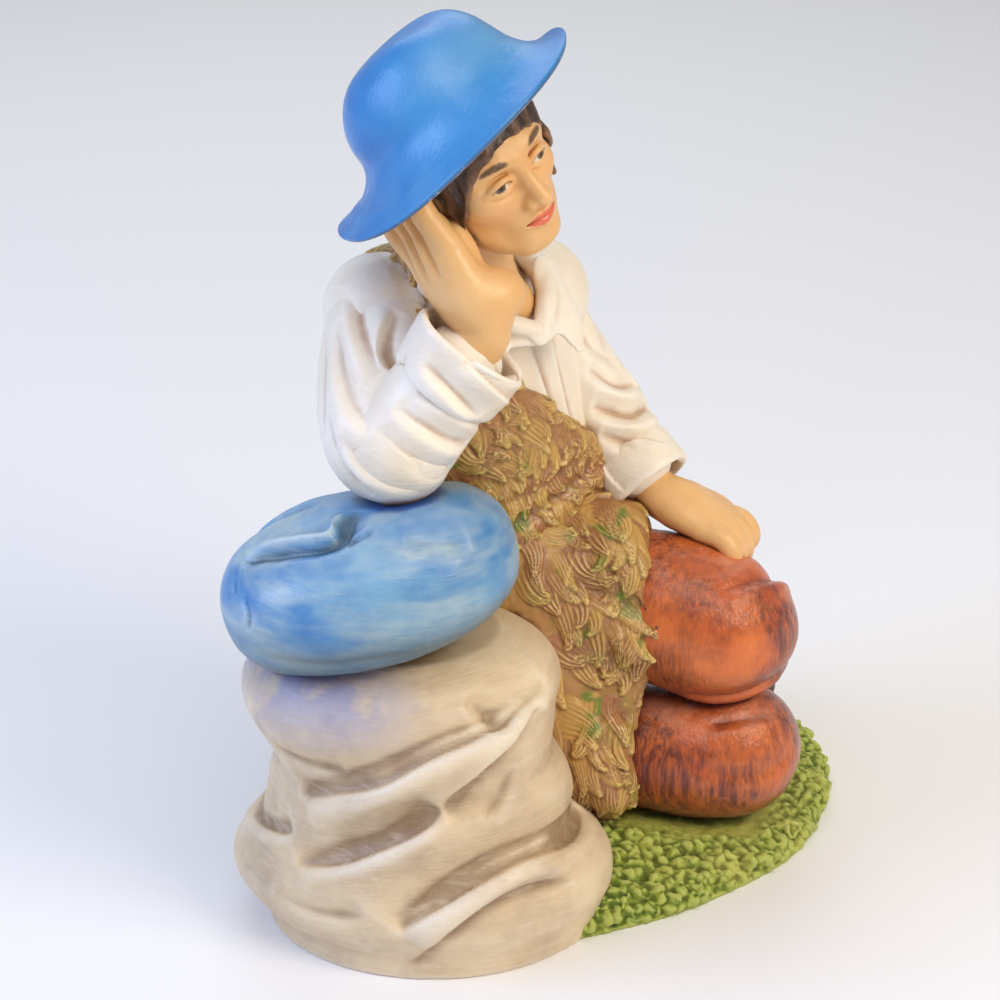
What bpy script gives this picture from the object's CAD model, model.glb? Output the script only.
"""The looks of a painted cast-resin garden ornament: a shepherd leans on a cushion laid over a full sack.

Each casting is modelled as a distance field, meshed, worked over with modelling strokes, and painted by
vertex attributes and procedural nodes. Sculpting is in millimetres, in the frame's axes: +Z is up, the
figure faces -Y, and its right hand is on the -X side.
"""

import itertools
import math
from concurrent.futures import ThreadPoolExecutor

import bpy
import numpy as np
import openvdb
from mathutils import Euler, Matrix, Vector


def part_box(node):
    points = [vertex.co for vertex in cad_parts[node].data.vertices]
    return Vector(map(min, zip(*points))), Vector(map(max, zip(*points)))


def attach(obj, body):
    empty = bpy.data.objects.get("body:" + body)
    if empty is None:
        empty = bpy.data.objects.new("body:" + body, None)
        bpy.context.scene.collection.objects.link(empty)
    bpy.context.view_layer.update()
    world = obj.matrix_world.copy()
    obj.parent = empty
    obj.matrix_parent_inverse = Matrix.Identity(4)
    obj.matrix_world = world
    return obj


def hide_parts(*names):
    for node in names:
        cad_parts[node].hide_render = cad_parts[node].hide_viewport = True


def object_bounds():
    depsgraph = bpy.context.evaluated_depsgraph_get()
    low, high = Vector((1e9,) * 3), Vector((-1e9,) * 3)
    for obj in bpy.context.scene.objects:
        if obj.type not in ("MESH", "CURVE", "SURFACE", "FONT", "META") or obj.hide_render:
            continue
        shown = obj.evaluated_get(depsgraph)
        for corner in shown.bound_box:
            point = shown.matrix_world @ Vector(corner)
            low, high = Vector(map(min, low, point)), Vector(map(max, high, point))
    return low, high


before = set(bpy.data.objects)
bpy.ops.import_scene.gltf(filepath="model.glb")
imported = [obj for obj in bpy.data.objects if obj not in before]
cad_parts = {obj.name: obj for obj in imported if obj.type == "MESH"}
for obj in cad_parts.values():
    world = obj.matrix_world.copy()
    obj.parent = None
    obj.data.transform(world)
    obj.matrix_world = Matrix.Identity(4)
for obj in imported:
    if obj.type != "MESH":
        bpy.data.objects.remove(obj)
cad_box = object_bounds()

MM = 0.001
COARSE = 1.0
UP = np.array([0.0, 0.0, 1.0])
UNDERSIDE = 0.6  # vertices below this height belong to a flat underside


# ---- places, all from the frame ----


def at(node, fx, fy, fz):
    """A point at these fractions of a CAD node's box, in millimetres."""
    low, high = (np.array(corner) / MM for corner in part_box(node))
    return low + (high - low) * np.array([fx, fy, fz])


def corners_of(node):
    """The lowest and the highest corner of a CAD node's box."""
    return at(node, 0, 0, 0), at(node, 1, 1, 1)


HEAD = at("head", 0.49, 0.50, 0.51)
HAT = at("hat", 0.50, 0.54, 0.46)
NECK = at("neck", 0.58, 0.56, 0.27)
RIGHT_SHOULDER = at("right_upper_sleeve", 0.64, 0.73, 0.71)
RIGHT_ELBOW = at("right_upper_sleeve", 0.30, 0.23, 0.27)
RIGHT_WRIST = at("right_hand", 0.63, 0.18, 0.30)
LEFT_SHOULDER = at("left_sleeve", 0.39, 0.72, 0.79)
LEFT_ELBOW = at("left_sleeve", 0.66, 0.34, 0.25)
LEFT_WRIST = at("left_hand", 0.31, 0.66, 0.60)
UPPER_KNEE = at("left_leg", 0.47, 0.25, 0.68)
LOWER_KNEE = at("right_leg", 0.45, 0.29, 0.51)
SACK = at("sack", 0.50, 0.50, 0.0)
CUSHION = at("cushion", 0.50, 0.50, 0.50)
TORSO = at("shirt_body", 0.50, 0.55, 0.0) * np.array([1, 1, 0])  # on the ground
BASE = at("grass_base", 0.50, 0.50, 0.0)

SACK_TURN = math.radians(-38)  # the sack's and the cushion's long side, about Z
LONG = np.array([math.cos(SACK_TURN), math.sin(SACK_TURN), 0.0])  # along that side
DEEP = np.array([-math.sin(SACK_TURN), math.cos(SACK_TURN), 0.0])


# ---- distance fields: each takes points (n, 3) and gives distances, negative inside ----


def vec(*values):
    return np.array(values, float)


def turn(x=0.0, y=0.0, z=0.0):
    """Rotation by degrees about X, then Y, then Z."""
    angles = [math.radians(v) for v in (x, y, z)]
    return np.array(Euler(angles, "XYZ").to_matrix())


def length(v):
    return np.sqrt(np.einsum("ij,ij->i", v, v))


def stations(origin, *rows):
    """Rows that start with x, y, z from an origin, with those three moved into the frame."""
    return [(*(origin + row[:3]), *row[3:]) for row in rows]


def between(a, b, *rows):
    """Stations on the line from a to b: each row is a share of the way and a radius."""
    return [(*(a + (b - a) * share), radius) for share, radius in rows]


def ball(p, centre, radii, turned=None):
    """An ellipsoid."""
    q = p - centre
    if turned is not None:
        q = q @ turned
    q = q / radii
    k = length(q)
    return k * (k - 1) / np.maximum(length(q / radii), 1e-6)


def curve(points, steps=6):
    """A smooth Catmull-Rom line through the points, with any further columns carried along."""
    points = np.asarray(points, float)
    ends = np.vstack([2 * points[0] - points[1], points, 2 * points[-1] - points[-2]])
    out = []
    for a, b, c, d in zip(ends, ends[1:], ends[2:], ends[3:]):
        t = np.arange(steps)[:, None] / steps
        bend = 2 * a - 5 * b + 4 * c - d
        out.append(0.5 * (2 * b + (c - a) * t + bend * t**2 + (3 * b - a - 3 * c + d) * t**3))
    return np.vstack([*out, points[-1:]])


def limb(p, stations, steps=4):
    """A round limb through stations of x, y, z, radius."""
    line = curve(stations, steps)
    best = np.full(len(p), 1e9)
    for a, b in zip(line, line[1:]):
        along = b[:3] - a[:3]
        off = p - a[:3]
        t = np.clip(off @ along / max(along @ along, 1e-9), 0, 1)
        best = np.minimum(best, length(off - t[:, None] * along) - (a[3] + (b[3] - a[3]) * t))
    return best


def stack(p, stations, along=LONG):
    """An upright body with level oval rings: stations of x, y, z, half length, half depth."""
    z = np.array([s[2] for s in stations])
    line = curve([[s[2], s[0], s[1], s[3], s[4]] for s in stations], 8)
    height = np.clip(p[:, 2], z[0], z[-1])
    x, y, a, b = (np.interp(height, line[:, 0], line[:, k]) for k in range(1, 5))
    side = np.array([-along[1], along[0], 0.0])
    off = p - np.stack([x, y, height], 1)
    q = np.stack([off @ along / a, off @ side / b], 1)
    k = length(q)
    ring = k * (k - 1) / np.maximum(length(q / np.stack([a, b], 1)), 1e-6)
    over = np.maximum(z[0] - p[:, 2], p[:, 2] - z[-1])
    return np.maximum(ring, over)


def flatten(p, centre, axis, share):
    """Points for a field that is to be squashed to this share of its thickness along an axis."""
    axis = axis / np.linalg.norm(axis)
    off = (p - centre) @ axis
    return p + np.outer(off * (1 / share - 1), axis)


def blend(a, b, k):
    """Both bodies as one, with a fillet of about k millimetres."""
    h = np.maximum(k - np.abs(a - b), 0) / k
    return np.minimum(a, b) - h * h * k / 4


def cut(a, b, k=0.5):
    """The first body without the second."""
    return -blend(-a, b, k)


def under(p, point, normal):
    """The half-space under a plane."""
    normal = np.asarray(normal, float)
    return (p - point) @ (normal / np.linalg.norm(normal))


# ---- seeded noise ----


def hashed(i, j, k, seed):
    """A number from 0 to 1 for each whole-numbered cell."""
    n = i * 73856093 ^ j * 19349663 ^ k * 83492791 ^ (seed * 2654435 + 97)
    n = (n ^ (n >> 13)) * 1274126177 & 0x7FFFFFFF
    return ((n ^ (n >> 16)) & 0xFFFF) / 65535.0


def corners(f):
    """The corners of a unit cell, and the weight of each at the places f in the cell."""
    for dx, dy, dz in itertools.product((0, 1), repeat=3):
        yield (dx, dy, dz), abs(1 - dx - f[:, 0]) * abs(1 - dy - f[:, 1]) * abs(1 - dz - f[:, 2])


def noise(p, scale, seed):
    """Smooth noise from -1 to 1, with features of about `scale` millimetres."""
    q = p / scale
    cell = np.floor(q).astype(np.int64)
    f = q - cell
    f = f * f * (3 - 2 * f)
    return 2 * sum(weight * hashed(*(cell + corner).T, seed) for corner, weight in corners(f)) - 1


def rough(p, scale, seed, octaves=3):
    """Noise with finer noise on it: each octave has half the size and half the height."""
    return sum(noise(p, scale / 2**o, seed + o) / 2**o for o in range(octaves)) / 1.6


def crumbs(p, scale, seed):
    """Height from 0 to 1 of crumbs about `scale` millimetres apart, and each crumb's own number."""
    q = p / scale
    cell = np.floor(q).astype(np.int64)
    nearest = np.full(len(p), 9.0)
    own = np.zeros(len(p))
    for step in itertools.product((-1, 0, 1), repeat=3):
        c = cell + step
        spot = np.stack([hashed(*c.T, seed + k) for k in range(3)], 1)
        d = length(c + spot - q)
        own = np.where(d < nearest, hashed(*c.T, seed + 5), own)
        nearest = np.minimum(nearest, d)
    return np.clip(1 - nearest, 0, 1), own


# ---- clay: a meshed field that strokes are worked into ----


def near_line(line, v, n):
    """For points with normals: distance from a line, signed distance across it, and share along it."""
    best = np.full(len(v), 1e9)
    across, share = np.zeros(len(v)), np.zeros(len(v))
    for k, (a, b) in enumerate(zip(line, line[1:])):
        along = b - a
        off = v - a
        t = np.clip(off @ along / max(along @ along, 1e-9), 0, 1)
        off = off - t[:, None] * along
        d = length(off)
        near = d < best
        best = np.where(near, d, best)
        side = np.einsum("ij,ij->i", np.cross(along, n), off)
        across = np.where(near, np.sign(side) * d, across)
        share = np.where(near, (k + t) / (len(line) - 1), share)
    return best, across, share


class Clay:
    """A dense mesh of quads in millimetres, with its normals and named paint values for each vertex."""

    def __init__(self, verts, quads):
        self.verts, self.quads = verts, quads
        self.start = quads.ravel()
        self.end = np.roll(quads, -1, axis=1).ravel()
        self.degree = np.maximum(np.bincount(self.start, minlength=len(verts)), 1)
        self.paint = {}
        self.poles = []  # points and rings of vertices, where the sheet of quads is still open
        self.renew()

    def spread(self, values):
        """The mean of each vertex's neighbours."""
        if values.ndim == 1:
            return np.bincount(self.start, values[self.end], len(self.verts)) / self.degree
        return np.stack([self.spread(column) for column in values.T], 1)

    def renew(self):
        """Works out the normals again."""
        v, q = self.verts, self.quads
        face = np.cross(v[q[:, 2]] - v[q[:, 0]], v[q[:, 3]] - v[q[:, 1]])
        n = np.stack([np.bincount(q.ravel(), np.repeat(face[:, k], 4), len(v)) for k in range(3)], 1)
        self.normal = n / np.maximum(length(n), 1e-12)[:, None]

    def push(self, amount):
        """Moves the surface out by this many millimetres."""
        self.verts = self.verts + self.normal * np.asarray(amount)[:, None]
        self.renew()

    def smooth(self, times, share=0.6):
        for _ in range(times):
            self.verts = self.verts + (self.spread(self.verts) - self.verts) * share
        self.renew()

    def cavity(self, times):
        """How deep each vertex lies below its surroundings, in millimetres; more times looks wider."""
        calm = self.verts
        for _ in range(times):
            calm = calm + (self.spread(calm) - calm) * 0.7
        return np.einsum("ij,ij->i", calm - self.verts, self.normal)

    def hit(self, origin, direction):
        """The vertex nearest to a ray that leaves origin, and in front of it."""
        direction = np.asarray(direction, float) / np.linalg.norm(direction)
        off = self.verts - origin
        along = off @ direction
        miss = length(off - along[:, None] * direction) + np.where(along > 0, 0, 1e6) - 0.02 * along
        return self.verts[np.argmin(miss)]

    def snap(self, points):
        """The vertex nearest to each point."""
        some = self.verts[::3]
        return np.array([some[np.argmin(((some - p) ** 2).sum(1))] for p in points])

    def beside(self, line, reach):
        """For vertices near a line: their numbers, distance, signed distance across, and share along."""
        inside = (self.verts > line.min(0) - reach) & (self.verts < line.max(0) + reach)
        pick = np.flatnonzero(inside.all(1))
        distance, across, share = near_line(line, self.verts[pick], self.normal[pick])
        keep = distance < reach
        return pick[keep], distance[keep], across[keep], share[keep]

    def stroke(self, path, width, depth, lean=0.0, ends=0.25):
        """A groove, or a ridge with a negative depth. Lean piles clay up on the left of a groove."""
        line = self.snap(curve(path, 5))
        for _ in range(6):
            line[1:-1] = (line[:-2] + 2 * line[1:-1] + line[2:]) / 4
        pick, d, across, share = self.beside(line, 3.2 * width)
        fade = np.clip(np.minimum(share, 1 - share) / ends, 0, 1)
        x = across / width
        groove = -np.exp(-((d / width * 1.6) ** 2))
        pile = lean * x * np.exp(-(x**2) * 0.55) * 1.2
        amount = np.zeros(len(self.verts))
        amount[pick] = depth * (groove + pile) * np.sqrt(fade) * (fade > 0)
        self.push(amount)


def press(body, origin, folds):
    """Works folds into clay: each has its points from the origin, then width, depth and lean."""
    for path, width, depth, lean in folds:
        body.stroke([origin + spot for spot in path], width, depth, lean)


def cloth(body, origin, folds, seed, broad, fine):
    """Clay with folds pressed in and left uneven: broad and fine are each a height and a size."""
    press(body, origin, folds)
    body.push(sum(high * rough(body.verts, size, seed + k) for k, (high, size) in enumerate((broad, fine))))
    body.smooth(2)
    return body


def clay(field, low, high, voxel):
    """Meshes a distance field inside a box: coarse blocks first, and voxels only near the surface."""
    voxel = voxel * COARSE
    block, far = 4, 3 * voxel
    low = np.asarray(low, float) - 4 * voxel
    count = np.ceil((np.asarray(high, float) + 4 * voxel - low) / (voxel * block)).astype(int)
    where = np.stack(np.meshgrid(*map(np.arange, count), indexing="ij"), -1).reshape(-1, 3)
    coarse = field(low + (where * block + (block - 1) / 2) * voxel)
    near = np.abs(coarse) < block * voxel * 1.5 + far
    inner = np.stack(np.meshgrid(*[np.arange(block)] * 3, indexing="ij"), -1).reshape(-1, 3)
    points = low + (where[near][:, None, :] * block + inner).reshape(-1, 3) * voxel
    values = np.repeat(np.where(coarse > 0, far, -far)[:, None], block**3, 1)
    pieces = np.array_split(points, max(1, len(points) // 400_000))
    values[near] = np.clip(np.concatenate([field(part) for part in pieces]), -far, far).reshape(-1, block**3)
    dense = values.reshape(*count, block, block, block).transpose(0, 3, 1, 4, 2, 5)
    grid = openvdb.FloatGrid(far)
    grid.copyFromArray(np.ascontiguousarray(dense.reshape(*(count * block)), dtype=np.float32))
    verts, quads = grid.convertToQuads(0.0)
    return biggest(low + verts.astype(float) * voxel, quads.astype(np.int64))


def biggest(verts, quads):
    """Clay of the largest connected body: crumbs that a cut leaves loose are dropped."""
    label = np.arange(len(verts))
    while True:
        lowest = label[quads].min(1)
        lower = label.copy()
        np.minimum.at(lower, quads.ravel(), np.repeat(lowest, 4))
        lower = lower[lower]
        if (lower == label).all():
            break
        label = lower
    keep = label == np.bincount(label).argmax()
    number = np.cumsum(keep) - 1
    return Clay(verts[keep], number[quads[keep[quads[:, 0]]]])


def box_of(*points, room):
    """The box round some points, with room to spare on every side."""
    points = np.array(points)
    return points.min(0) - room, points.max(0) + room


# ---- the sack ----

# Level rings of the sack: height, reach to the left end and to the right end from the front, half depth.
SACK_RINGS = [
    (-30, 54, 58, 47),
    (4, 55, 60, 48),
    (14, 62, 62.5, 50),
    (22, 66, 61, 50),
    (28, 63, 55, 50),
    (34, 59, 49.5, 49),
    (42, 55, 50.5, 48),
    (52, 50, 49, 47),
    (62, 46, 46, 45),
    (70, 48, 47.5, 45.5),
    (82, 52, 50.5, 46),
    (90, 51.5, 52.5, 44),
    (98, 44, 47, 38),
    (105, 30, 33, 27),
]


def sack_middle(z):
    """The sack leans a little to its left and back as it rises."""
    share = np.clip((z - 42) / 44, 0, 1)
    return SACK + vec(-7, 5, 0) * share


def sack_field(p):
    rings = []
    for z, left, right, deep in SACK_RINGS:
        x, y, _ = sack_middle(z) + LONG * (right - left) / 2
        rings.append((x, y, z, (left + right) / 2, deep))
    return np.maximum(stack(p, rings), -p[:, 2])


def sack_spot(body, degrees, z):
    """A point on the sack: 0 degrees is its right end from the front, and 90 its near side."""
    a = math.radians(degrees)
    middle = sack_middle(z)
    return body.hit(vec(middle[0], middle[1], z), math.cos(a) * LONG - math.sin(a) * DEEP)


# Folds: (degrees round the sack, height) along each, then width, depth and lean.
SACK_FOLDS = [
    ([(142, 60), (128, 65), (106, 72), (89, 80), (71, 86), (50, 89), (35, 92), (20, 93)], 6.5, 4.6, 0.9),
    ([(150, 75), (132, 72), (116, 71)], 5.0, 1.6, 0.4),
    ([(76, 62), (57, 72), (40, 81), (26, 88)], 5.0, 3.6, -0.9),
    ([(140, 37), (115, 46), (90, 57), (78, 63)], 5.0, 3.8, 0.9),
    ([(100, 20), (93, 27), (77, 35), (59, 41), (34, 40), (11, 34), (-12, 30)], 6.5, 5.2, 0.9),
    ([(96, 4), (81, 19), (66, 28), (45, 29), (30, 25)], 4.5, 2.4, -0.7),
    ([(196, 34), (180, 35), (156, 42), (146, 46)], 4.0, 3.0, 0.6),
    ([(56, 97), (50, 90), (40, 86)], 3.6, 1.8, 0.6),
    ([(146, 24), (128, 22), (112, 25)], 5.0, 1.4, 0.4),
    ([(60, 56), (50, 62), (42, 70)], 4.0, 1.4, 0.5),
    ([(214, 66), (196, 62), (180, 62), (166, 62)], 6.0, 3.0, 0.5),
    ([(240, 76), (222, 64), (206, 60)], 5.0, 2.6, 0.6),
    ([(262, 50), (240, 40), (222, 42), (206, 30)], 6.0, 3.0, 0.7),
    ([(232, 14), (214, 20), (198, 14)], 4.5, 2.0, 0.5),
]


def make_sack():
    reach = vec(66, 66, 0)
    body = clay(sack_field, SACK - reach, SACK + reach + UP * 108, voxel=0.8)
    before = body.verts.copy()
    creases = [([sack_spot(body, *spot) for spot in path], *rest) for path, *rest in SACK_FOLDS]
    for crease in creases:
        body.stroke(*crease)
    body.smooth(6)
    # A thin crease runs along the bottom of every fold.
    for path, width, depth, _ in creases:
        body.stroke(path, 0.34 * width, 0.30 * depth)
    body.push(0.7 * rough(body.verts, 30, 11) + 0.08 * rough(body.verts, 6, 12))
    body.smooth(1)
    underside = before[:, 2] < UNDERSIDE
    body.verts[:, 2] = np.where(underside, before[:, 2], np.maximum(body.verts[:, 2], 0))
    body.renew()
    return body


# ---- the cushion ----


CUSHION_AXES = turn(-3, -15, -38)
CUSHION_HALF = vec(48.5, 40.5, 24.5)
CUSHION_OUTLINE, CUSHION_PROFILE = 2.3, 2.5  # powers of its superellipses: 2 is round, and more is squarer


def cushion_field(p):
    q = (p - CUSHION) @ CUSHION_AXES / CUSHION_HALF
    flat = np.abs(q[:, 0]) ** CUSHION_OUTLINE + np.abs(q[:, 1]) ** CUSHION_OUTLINE
    flat = flat ** (1 / CUSHION_OUTLINE)
    k = (flat**CUSHION_PROFILE + np.abs(q[:, 2]) ** CUSHION_PROFILE) ** (1 / CUSHION_PROFILE)
    return (k - 1) * (CUSHION_HALF[2] + 20.0 * np.clip(flat, 0, 1) ** 2)


def cushion_spot(body, degrees, rise):
    """A point on the cushion: 0 degrees is its right end from the front, and rise is in degrees too."""
    a, b = math.radians(degrees), math.radians(rise)
    flat = math.cos(a) * LONG - math.sin(a) * DEEP
    return body.hit(CUSHION, flat * math.cos(b) + UP * math.sin(b))


CUSHION_FOLDS = [
    ([(170, 80), (130, 64), (115, 53), (123, 42), (146, 31), (161, 22), (168, 12)], 3.0, 3.4, 0.9),
    ([(84, 56), (98, 51), (110, 45)], 3.2, 1.2, 0.5),
    ([(148, 5), (141, 0), (143, -6)], 1.3, 0.9, 0.3),
    ([(161, 7), (154, 3)], 1.2, 0.6, 0.3),
    ([(64, 40), (50, 34), (36, 30)], 5.0, 1.2, 0.4),
    ([(150, -14), (120, -20), (90, -18), (60, -14)], 6.0, 0.9, 0.4),
    ([(230, 40), (214, 20), (204, 0)], 5.0, 1.6, 0.5),
    ([(270, 40), (262, 10), (268, -14)], 5.0, 1.6, 0.5),
    ([(310, 34), (318, 10)], 5.0, 1.4, 0.5),
]


def make_cushion():
    body = clay(cushion_field, *box_of(CUSHION, room=vec(52, 50, 34)), voxel=0.7)
    for path, *fold in CUSHION_FOLDS:
        body.stroke([cushion_spot(body, *spot) for spot in path], *fold)
    # The elbow presses a dent into the top.
    dent = length((body.verts - RIGHT_ELBOW + UP * 16) / vec(26, 22, 12))
    body.push(-2.2 * np.exp(-(dent**2)) + 0.5 * rough(body.verts, 22, 21) + 0.08 * rough(body.verts, 4, 22))
    body.smooth(2)
    # Paint from the sleeve's edge has run in a ring round the elbow.
    gap = length(body.verts - RIGHT_ELBOW) - 19.5
    body.paint["elbow_rim"] = np.exp(-((gap / 2.0) ** 2)) * (0.6 + 0.4 * noise(body.verts, 7, 23))
    return body


# ---- the base ----

RIM = 6.5  # height of the turf plate's edge
CROWN = 10.5  # and how much higher its middle is
OUTLINE = [
    (-98, 28), (-101, -14), (-88, -37), (-70, -51), (-34, -63), (5, -72), (54, -70), (91, -51),
    (112, -26), (120, 6), (111, 38), (88, 62), (46, 77), (0, 81), (-45, 75), (-80, 56), (-98, 28),
]  # fmt: skip


def outline_reach(angle):
    """Distance from the base's middle to its edge in each direction."""
    line = curve(OUTLINE, 8) - vec(12, 4)
    turns = np.arctan2(line[:, 1], line[:, 0])
    order = np.argsort(turns)
    return np.interp(angle, turns[order], np.hypot(*line.T)[order], period=2 * math.pi)


def base_field(p):
    # The outline's own middle lies a little off the middle of the CAD base's box.
    q = p - (BASE + vec(-0.45, -0.25, 0))
    reach = outline_reach(np.arctan2(q[:, 1], q[:, 0]))
    across = np.hypot(q[:, 0], q[:, 1])
    share = np.clip(across / reach, 0, 1)
    top = p[:, 2] - (RIM + CROWN * (1 - share**2.6))
    rounded = -blend(-(across - reach) * 0.9, -top * 0.9, 5.0)
    return np.maximum(rounded, -p[:, 2])


def make_base():
    half = vec(112, 80, 0)
    body = clay(base_field, BASE - half, BASE + half + UP * 22, voxel=0.7)
    v = body.verts
    underside = v[:, 2] < UNDERSIDE
    height = np.clip(v[:, 2] / 3.0, 0, 1)
    # Smooth bare turf shows close under the knees.
    bare = np.clip(2.2 - (right_leg_field(v) + 1.5 * noise(v, 9, 33)) / 4.5, 0, 1)
    clump, own = crumbs(v, 4.2, 31)
    fine, own_fine = crumbs(v, 2.1, 35)
    amount = 4.2 * (clump - 0.42) * (0.4 + own) + 1.9 * (fine - 0.4) * (0.3 + own_fine)
    amount += 1.0 * rough(v, 13, 34) + 1.1 * rough(v, 2.6, 39, 2)
    amount = amount * (1 - 0.85 * bare) * height
    sideways = np.stack([noise(v, 2.2, 36 + k) for k in range(3)], 1)
    body.verts = v + sideways * 0.7 * (height * (1 - bare))[:, None]
    body.renew()
    body.push(np.clip(amount, -3.2, 2.2))
    body.smooth(1, 0.25)
    body.verts[:, 2] = np.where(underside, 0.0, np.maximum(body.verts[:, 2], 0.15))
    body.renew()
    body.paint.update(clump=own * 0.6 + own_fine * 0.4, bare=bare)
    return body


# ---- legs and boots ----


def left_leg_field(p):
    thigh = stations(UPPER_KNEE, (-21, 30, 7, 24), (-11, 14, 5, 26.5), (-4, 1, 2, 26.5))
    shin = stations(UPPER_KNEE, (5, -2, -2, 21), (17, 20, -13, 18), (30, 44, -34, 14.5), (38, 62, -48, 12))
    return blend(limb(p, thigh), limb(p, shin), 8)


def right_leg_field(p):
    thigh = stations(LOWER_KNEE, (-24, 26, -1, 21), (-11, 8, -1, 23), (0, 0, -1, 23.5))
    shin = stations(LOWER_KNEE, (8, 2, -2, 20.5), (26, 24, -9, 16.5), (42, 44, -14, 13))
    return blend(limb(p, thigh), limb(p, shin), 8)


def boot_field(p, heel, toe):
    foot = between(heel, toe, (-0.12, 10.5), (0.3, 10.5), (0.7, 10.8), (1.0, 8.2))
    shaft = stations(heel, (-6, -13, 6, 13.2), (0, -2, 1, 12.4))
    band = stations(heel, (-6, -13, 6, 14.3), (-5, -11, 5, 14.3))
    foot = limb(flatten(p, heel, UP, 0.92), foot)
    return blend(blend(foot, limb(p, shaft), 5), limb(p, band), 1.0)


# Folds of each leg: points from its knee, then width, depth and lean.
LEFT_LEG_FOLDS = [
    ([(-14, -14, 24), (4, -14, 22), (18, -8, 16), (26, 4, 6)], 3.5, 2.2, 0.8),
    ([(-20, -6, -14), (-6, -20, -18), (10, -24, -12)], 4.0, 1.6, 0.6),
    ([(24, -8, -6), (18, -20, -12), (6, -26, -14)], 4.0, 1.2, -0.5),
    ([(26, 14, 10), (24, 4, -4), (22, -4, -16)], 5.0, 1.2, 0.4),
    ([(36, 32, -10), (36, 24, -24), (30, 12, -32)], 3.6, 2.0, 0.6),
    ([(44, 46, -22), (44, 40, -36), (36, 30, -46)], 3.2, 1.6, 0.6),
    ([(20, 30, 6), (28, 40, -4), (34, 52, -20)], 4.2, 1.6, 0.5),
]
RIGHT_LEG_FOLDS = [
    ([(-18, -8, 20), (-4, -14, 20), (10, -14, 16)], 3.4, 1.8, 0.6),
    ([(-24, -6, 6), (-14, -20, 2), (0, -26, 2), (14, -22, 4)], 5.0, 1.2, 0.4),
    ([(26, 4, 12), (28, -4, 0), (22, -12, -12)], 3.6, 1.8, 0.5),
    ([(40, 22, 6), (40, 16, -6), (34, 10, -16)], 3.4, 1.8, 0.6),
    ([(48, 38, -2), (50, 32, -12)], 3.0, 1.4, 0.5),
]


def make_leg(field, knee, ankle, room, folds):
    body = clay(field, *box_of(knee, knee + ankle, room=room), voxel=0.6)
    return cloth(body, knee, folds, 41, (0.35, 18), (0.06, 3))


def make_left_leg():
    return make_leg(left_leg_field, UPPER_KNEE, vec(38, 62, -48), vec(46, 42, 32), LEFT_LEG_FOLDS)


def make_right_leg():
    return make_leg(right_leg_field, LOWER_KNEE, vec(42, 44, -14), vec(46, 42, 30), RIGHT_LEG_FOLDS)


def make_boot(node, heel_at, toe_at):
    heel, toe = at(node, *heel_at), at(node, *toe_at)

    def field(p):
        return np.maximum(boot_field(p, heel, toe), 1.0 - p[:, 2])

    body = clay(field, *box_of(heel, toe, room=20), voxel=0.6)
    foot = toe - heel
    across = np.cross(foot / np.linalg.norm(foot), UP)
    for share in (0.25, 0.38):  # creases over the instep
        spot = heel + foot * share
        body.stroke([spot + across * 9 + UP * 4, spot + UP * 10, spot - across * 9 + UP * 4], 1.6, 0.8, 0.4)
    for side in (-1, 1):  # the top edge of the sole
        edge = [heel + foot * share + across * side * 10 - UP * 6 for share in (-0.1, 0.3, 0.7, 0.95)]
        body.stroke(edge, 1.0, 0.9, ends=0.1)
    body.smooth(1)
    return body


# ---- the torso, the shirt and the fleece ----

TORSO_ACROSS = vec(0.996, 0.09, 0)


# The torso from the waist to the neck: middle of each ring from TORSO, half width and half depth.
TORSO_RINGS = [
    (7, -4, 84, 36, 29),
    (6, -4, 112, 38, 30),
    (3, -3, 135, 41, 31),
    (-2, -1, 160, 43, 30),
    (-7, 1, 184, 42, 27),
    (-8, 0, 196, 36, 23),
    (-9, -2, 205, 26, 18),
    (-10, -4, 214, 14, 12),
]


def torso_field(p, grow=0.0):
    rings = [(x, y, z, wide + grow, deep + grow) for x, y, z, wide, deep in TORSO_RINGS]
    return stack(p, stations(TORSO, *rings), TORSO_ACROSS)


SHIRT_FOLDS = [
    ([(18, -28, -8), (24, -32, -30), (28, -34, -52), (28, -34, -66)], 3.2, 1.8, 0.8),
    ([(30, -18, -6), (34, -26, -26), (36, -28, -48)], 3.6, 2.2, 0.8),
    ([(4, -32, -18), (8, -36, -40), (10, -38, -58)], 5.0, 0.8, 0.4),
    ([(-6, 22, 2), (-8, 40, -20), (-6, 46, -50)], 6.0, 1.6, 0.6),
    ([(14, 26, 0), (20, 40, -24), (20, 44, -54)], 6.0, 1.6, -0.6),
    ([(-26, 26, -4), (-30, 36, -24)], 5.0, 1.4, 0.6),
]


def make_shirt_body():
    left = stations(LEFT_SHOULDER, (-16, -2, 6, 16), (2, -2, 0, 18))
    right = stations(RIGHT_SHOULDER, (16, -2, 4, 15), (0, 0, 2, 19))

    def field(p):
        return blend(blend(torso_field(p), limb(p, left), 14), limb(p, right), 14)

    low, high = corners_of("shirt_body")
    body = clay(field, low - 6, high + 6, voxel=0.6)
    return cloth(body, NECK, SHIRT_FOLDS, 51, (0.35, 20), (0.06, 4))


def bodice_field(p):
    """The fleece above the waist: a thick skin over the torso, open over the left shoulder."""
    strap = stations(RIGHT_SHOULDER, (14, -22, 0, 16.5), (13, -8, 7, 18), (12, 8, 5, 15), (12, 20, -4, 12))
    strap = limb(p, strap)
    body = blend(torso_field(p, 5.5), strap, 8)
    edge = under(p, NECK + vec(31, -17, -49), (0.66, -0.06, 0.73))
    inner_side = under(p, RIGHT_SHOULDER + vec(2, 0, 0), (-0.9, -0.1, -0.1))
    edge = blend(edge, np.maximum(strap, inner_side), 4)
    return -blend(-body, -edge, 3.0)


HEM_WAY = vec(0.788, -0.616, 0.0)  # square to the fleece's hem, out along the thighs


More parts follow.
